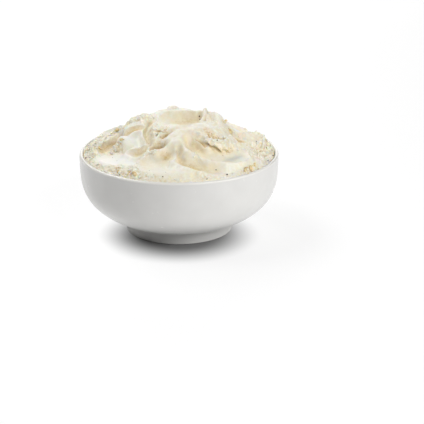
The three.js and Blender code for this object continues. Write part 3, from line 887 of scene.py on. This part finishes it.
# _WIDTH and _T: width and thickness as shares of a lump's length; _SUNK: share of the thickness
SKIN_T = 3.2  # in millimetres
SKIN_SUNK, SHRED_SUNK = 0.4, 0.3
SHREDS = (2, 3)  # fewest and most beside each bit
SHRED_REACH = (0.5, 0.9)  # how far from its middle they lie
SHRED_SIZE = (1.4, 2.6)
SHRED_WIDTH, SHRED_T = 0.6, 0.5

# where the larger specks lie in the photo
PEPPER_SEEN = [
    (-101, -28.5), (101.3, 20.7), (102.8, -0.3), (95.6, -15.7), (103.3, -17.4), (97.1, -39.6),
    (40.7, -82.5), (52.3, -86), (31.2, -99.6), (-15, -101), (-61, -85), (22.6, 10.8), (23.8, 6.7),
    (-93, 3), (42, -45.5), (84.5, -18),
]
PEPPER_COUNT = 60  # fine specks besides those
PEPPER_SEEN_SIZE, PEPPER_FINE_SIZE = (1.3, 2.0), (0.35, 0.8)
PEPPER_WIDTH = (0.6, 0.9)
PEPPER_T = 0.7
PEPPER_FINE_SUNK = 0.3
PEPPER_SPREAD = 0.98  # of the mash's radius
PEPPER_SHAPES = 6  # different ones
# the chance of keeping a fine speck in the middle, and what the rim adds: most of it lies there
PEPPER_OPEN, PEPPER_RIM, PEPPER_RIM_POWER = 0.25, 0.75, 4

GRAIN_TRIES = 4300
GRAIN_SPREAD = 0.985  # of the mash's radius
GRAIN_SIZE = (1.4, 3.5)
GRAIN_CRUMB_GROWTH = 0.35  # how much larger they are where it is crumbly
GRAIN_WIDTH, GRAIN_T = (0.6, 0.95), (0.5, 0.8)
GRAIN_SUNK = (0.4, 0.65)
GRAIN_SHAPES = 12
# the chance of a grain, and what the rim, a drift of them and a crumbly place add to it
GRAIN_OPEN, GRAIN_RIM, GRAIN_DRIFT, GRAIN_CRUMBLY = 0.16, 0.5, 0.25, 0.6
GRAIN_RIM_POWER = 5
GRAIN_SPOON_POWER = 2  # how strongly a smooth place keeps them off
GRAIN_WAVE = (26, 8.5)  # wavelength and seed of where they gather

# seeds of the lumps' shapes
SKIN_SEED, SHRED_SEED, PEPPER_SEED, GRAIN_SEED = 11, 40, 70, 90


def make_skin():
    lumps = []
    for i, (x, y, length, width, turn) in enumerate(SKIN_BITS):
        lumps.append((x, y, length, width, SKIN_T, turn, SKIN_SUNK, SKIN_SEED + i))
        for _ in range(dice.randint(*SHREDS)):
            a, far = dice.uniform(0, 2 * math.pi), dice.uniform(*SHRED_REACH) * length
            size = dice.uniform(*SHRED_SIZE)
            spot = (x + far * math.cos(a), y + far * math.sin(a))
            shape = (size, size * SHRED_WIDTH, size * SHRED_T, dice.uniform(0, 3))
            lumps.append((*spot, *shape, SHRED_SUNK, SHRED_SEED + i))
    return scatter("skin_bits", lumps)


def make_pepper():
    lumps = []
    spots = list(PEPPER_SEEN)
    while len(spots) < len(PEPPER_SEEN) + PEPPER_COUNT:
        r = MASH_R * math.sqrt(dice.random()) * PEPPER_SPREAD
        a = dice.uniform(0, 2 * math.pi)
        if dice.random() < PEPPER_OPEN + PEPPER_RIM * (r / MASH_R) ** PEPPER_RIM_POWER:
            spots.append((r * math.cos(a), r * math.sin(a)))
    for i, (x, y) in enumerate(spots):
        seen = i < len(PEPPER_SEEN)
        size = dice.uniform(*(PEPPER_SEEN_SIZE if seen else PEPPER_FINE_SIZE))
        shape = (size, size * dice.uniform(*PEPPER_WIDTH), size * PEPPER_T, dice.uniform(0, 3))
        sunk = 0 if seen else PEPPER_FINE_SUNK
        lumps.append((x, y, *shape, sunk, PEPPER_SEED + i % PEPPER_SHAPES))
    return scatter("pepper_specks", lumps)


def make_grains():
    """Loose grains of mash where no spoon smoothed it: round the rim and on the rough lumps."""
    r = MASH_R * GRAIN_SPREAD * np.sqrt([dice.random() for _ in range(GRAIN_TRIES)])
    a = np.array([dice.uniform(0, 2 * math.pi) for _ in range(GRAIN_TRIES)])
    x, y = r * np.cos(a), r * np.sin(a)
    smooth = sculpt(x, y)[3]
    crumbs = crumble(x, y)
    wanted = GRAIN_OPEN + GRAIN_RIM * (r / MASH_R) ** GRAIN_RIM_POWER
    wanted = wanted + GRAIN_DRIFT * wander(x, y, *GRAIN_WAVE) + GRAIN_CRUMBLY * crumbs
    wanted = wanted * (1 - smooth * (1 - CRUMB_ROUGHENS * crumbs)) ** GRAIN_SPOON_POWER
    lumps = []
    for i in range(GRAIN_TRIES):
        if dice.random() < wanted[i]:
            size = dice.uniform(*GRAIN_SIZE) * (1 + GRAIN_CRUMB_GROWTH * crumbs[i])
            width, thick = size * dice.uniform(*GRAIN_WIDTH), size * dice.uniform(*GRAIN_T)
            turn, sunk = dice.uniform(0, 3), dice.uniform(*GRAIN_SUNK)
            seed = GRAIN_SEED + i % GRAIN_SHAPES
            lumps.append((x[i], y[i], size, width, thick, turn, sunk, seed))
    return scatter("mash_grains", lumps, 1)


DICE_SEED = 7
dice = random.Random(DICE_SEED)

lay(make_bowl(), "bowl", glaze_material())
lay(make_mash(), "mashed_potato", mash_material("mash", MASH_DEPTH))
lay(make_grains(), "mashed_potato", mash_material("mash_grains", GRAIN_DEPTH))
lay(make_skin(), "mashed_potato", skin_material())
lay(make_pepper(), "mashed_potato", pepper_material())


# ---- floor, light and camera -------------------------------------------------------------------
# in metres; the floor glows with painted light, but for a soft painted shadow round the foot
FLOOR_HALF = 6
FLOOR_GREY, FLOOR_ROUGHNESS = (0.2, 0.2, 0.2, 1), 0.8
GLOW_INNER, GLOW_OUTER = 0.038, 0.095  # where the glow starts and is full, from the painted shadow's middle
GLOW_FRONT = 0.028  # how far that middle lies in front of the foot's
GLOW_FULL = 0.78
# name: distance, degrees to the right of the viewer, degrees up, size, power
LIGHTS = {
    "side_low": (1.9, 60, 17, 0.8, 12.7),
    "side_high": (1.9, 35, 35, 0.8, 15.5),
    "left": (1.7, -98, 57, 0.9, 13.5),
    "back": (1.7, 220, 45, 0.8, 9),
    "backdrop": (2.0, 180, 12, 1.6, 13),
}
LIGHT_TARGET = (0, 0, 0.05)
WORLD_STRENGTH = 0.02
# the camera, solved from the bowl's rim and foot in the photo
CAMERA_UP = 19.948  # degrees
CAMERA_TARGET = (0.03644, 0, 0.01624)
CAMERA_DISTANCE = 1.8
FOCAL_PX, FRAME_PX, SENSOR_MM = 1604.7, 424, 36


def make_floor():
    half = FLOOR_HALF
    mesh = bpy.data.meshes.new("floor")
    corners = [(-half, -half, 0), (half, -half, 0), (half, half, 0), (-half, half, 0)]
    mesh.from_pydata(corners, [], [(0, 1, 2, 3)])
    floor = bpy.data.objects.new("floor", mesh)
    bpy.context.scene.collection.objects.link(floor)
    material, tree, shader = new_material("pale_floor")
    shader.inputs["Base Color"].default_value = FLOOR_GREY
    shader.inputs["Roughness"].default_value = FLOOR_ROUGHNESS
    shader.inputs["Emission Color"].default_value = (1, 1, 1, 1)
    # the glow is painted light; it fades to a painted shadow round the foot, its middle moved to
    # the front
    place = tree.nodes.new("ShaderNodeNewGeometry")
    shift = tree.nodes.new("ShaderNodeVectorMath")
    shift.operation = "ADD"
    shift.inputs[1].default_value = (0, GLOW_FRONT, 0)
    far = tree.nodes.new("ShaderNodeVectorMath")
    far.operation = "LENGTH"
    tree.links.new(place.outputs["Position"], shift.inputs[0])
    tree.links.new(shift.outputs["Vector"], far.inputs[0])
    glow = scale_range(tree, far.outputs["Value"], 0, GLOW_FULL, GLOW_INNER, GLOW_OUTER)
    glow.node.interpolation_type = "SMOOTHSTEP"
    tree.links.new(glow, shader.inputs["Emission Strength"])
    floor.data.materials.append(material)


def make_light(name, distance, azimuth, elevation, size, power):
    """A round area light aimed at the bowl."""
    a, e = math.radians(azimuth), math.radians(elevation)
    target = Vector(LIGHT_TARGET)
    data = bpy.data.lights.new(name, "AREA")
    data.shape = "DISK"
    data.size = size
    data.energy = power
    light = bpy.data.objects.new(name, data)
    bpy.context.scene.collection.objects.link(light)
    away = Vector((math.sin(a) * math.cos(e), -math.cos(a) * math.cos(e), math.sin(e)))
    light.location = away * distance
    light.rotation_mode = "QUATERNION"
    light.rotation_quaternion = (target - light.location).to_track_quat("-Z", "Y")


def make_camera():
    elevation = math.radians(CAMERA_UP)
    data = bpy.data.cameras.new("camera")
    data.sensor_width = SENSOR_MM
    data.lens = FOCAL_PX / FRAME_PX * SENSOR_MM
    camera = bpy.data.objects.new("camera", data)
    bpy.context.scene.collection.objects.link(camera)
    away = Vector((0, -math.cos(elevation), math.sin(elevation)))
    camera.location = Vector(CAMERA_TARGET) + away * CAMERA_DISTANCE
    camera.rotation_mode = "QUATERNION"
    camera.rotation_quaternion = (-away).to_track_quat("-Z", "Y")
    bpy.context.scene.camera = camera


make_floor()
for name, values in LIGHTS.items():
    make_light(name, *values)
world = bpy.data.worlds.new("studio")
world.use_nodes = True
background = world.node_tree.nodes["Background"]
background.inputs["Color"].default_value = (1, 1, 1, 1)
background.inputs["Strength"].default_value = WORLD_STRENGTH
bpy.context.scene.world = world
bpy.context.scene.view_settings.view_transform = "Standard"
make_camera()
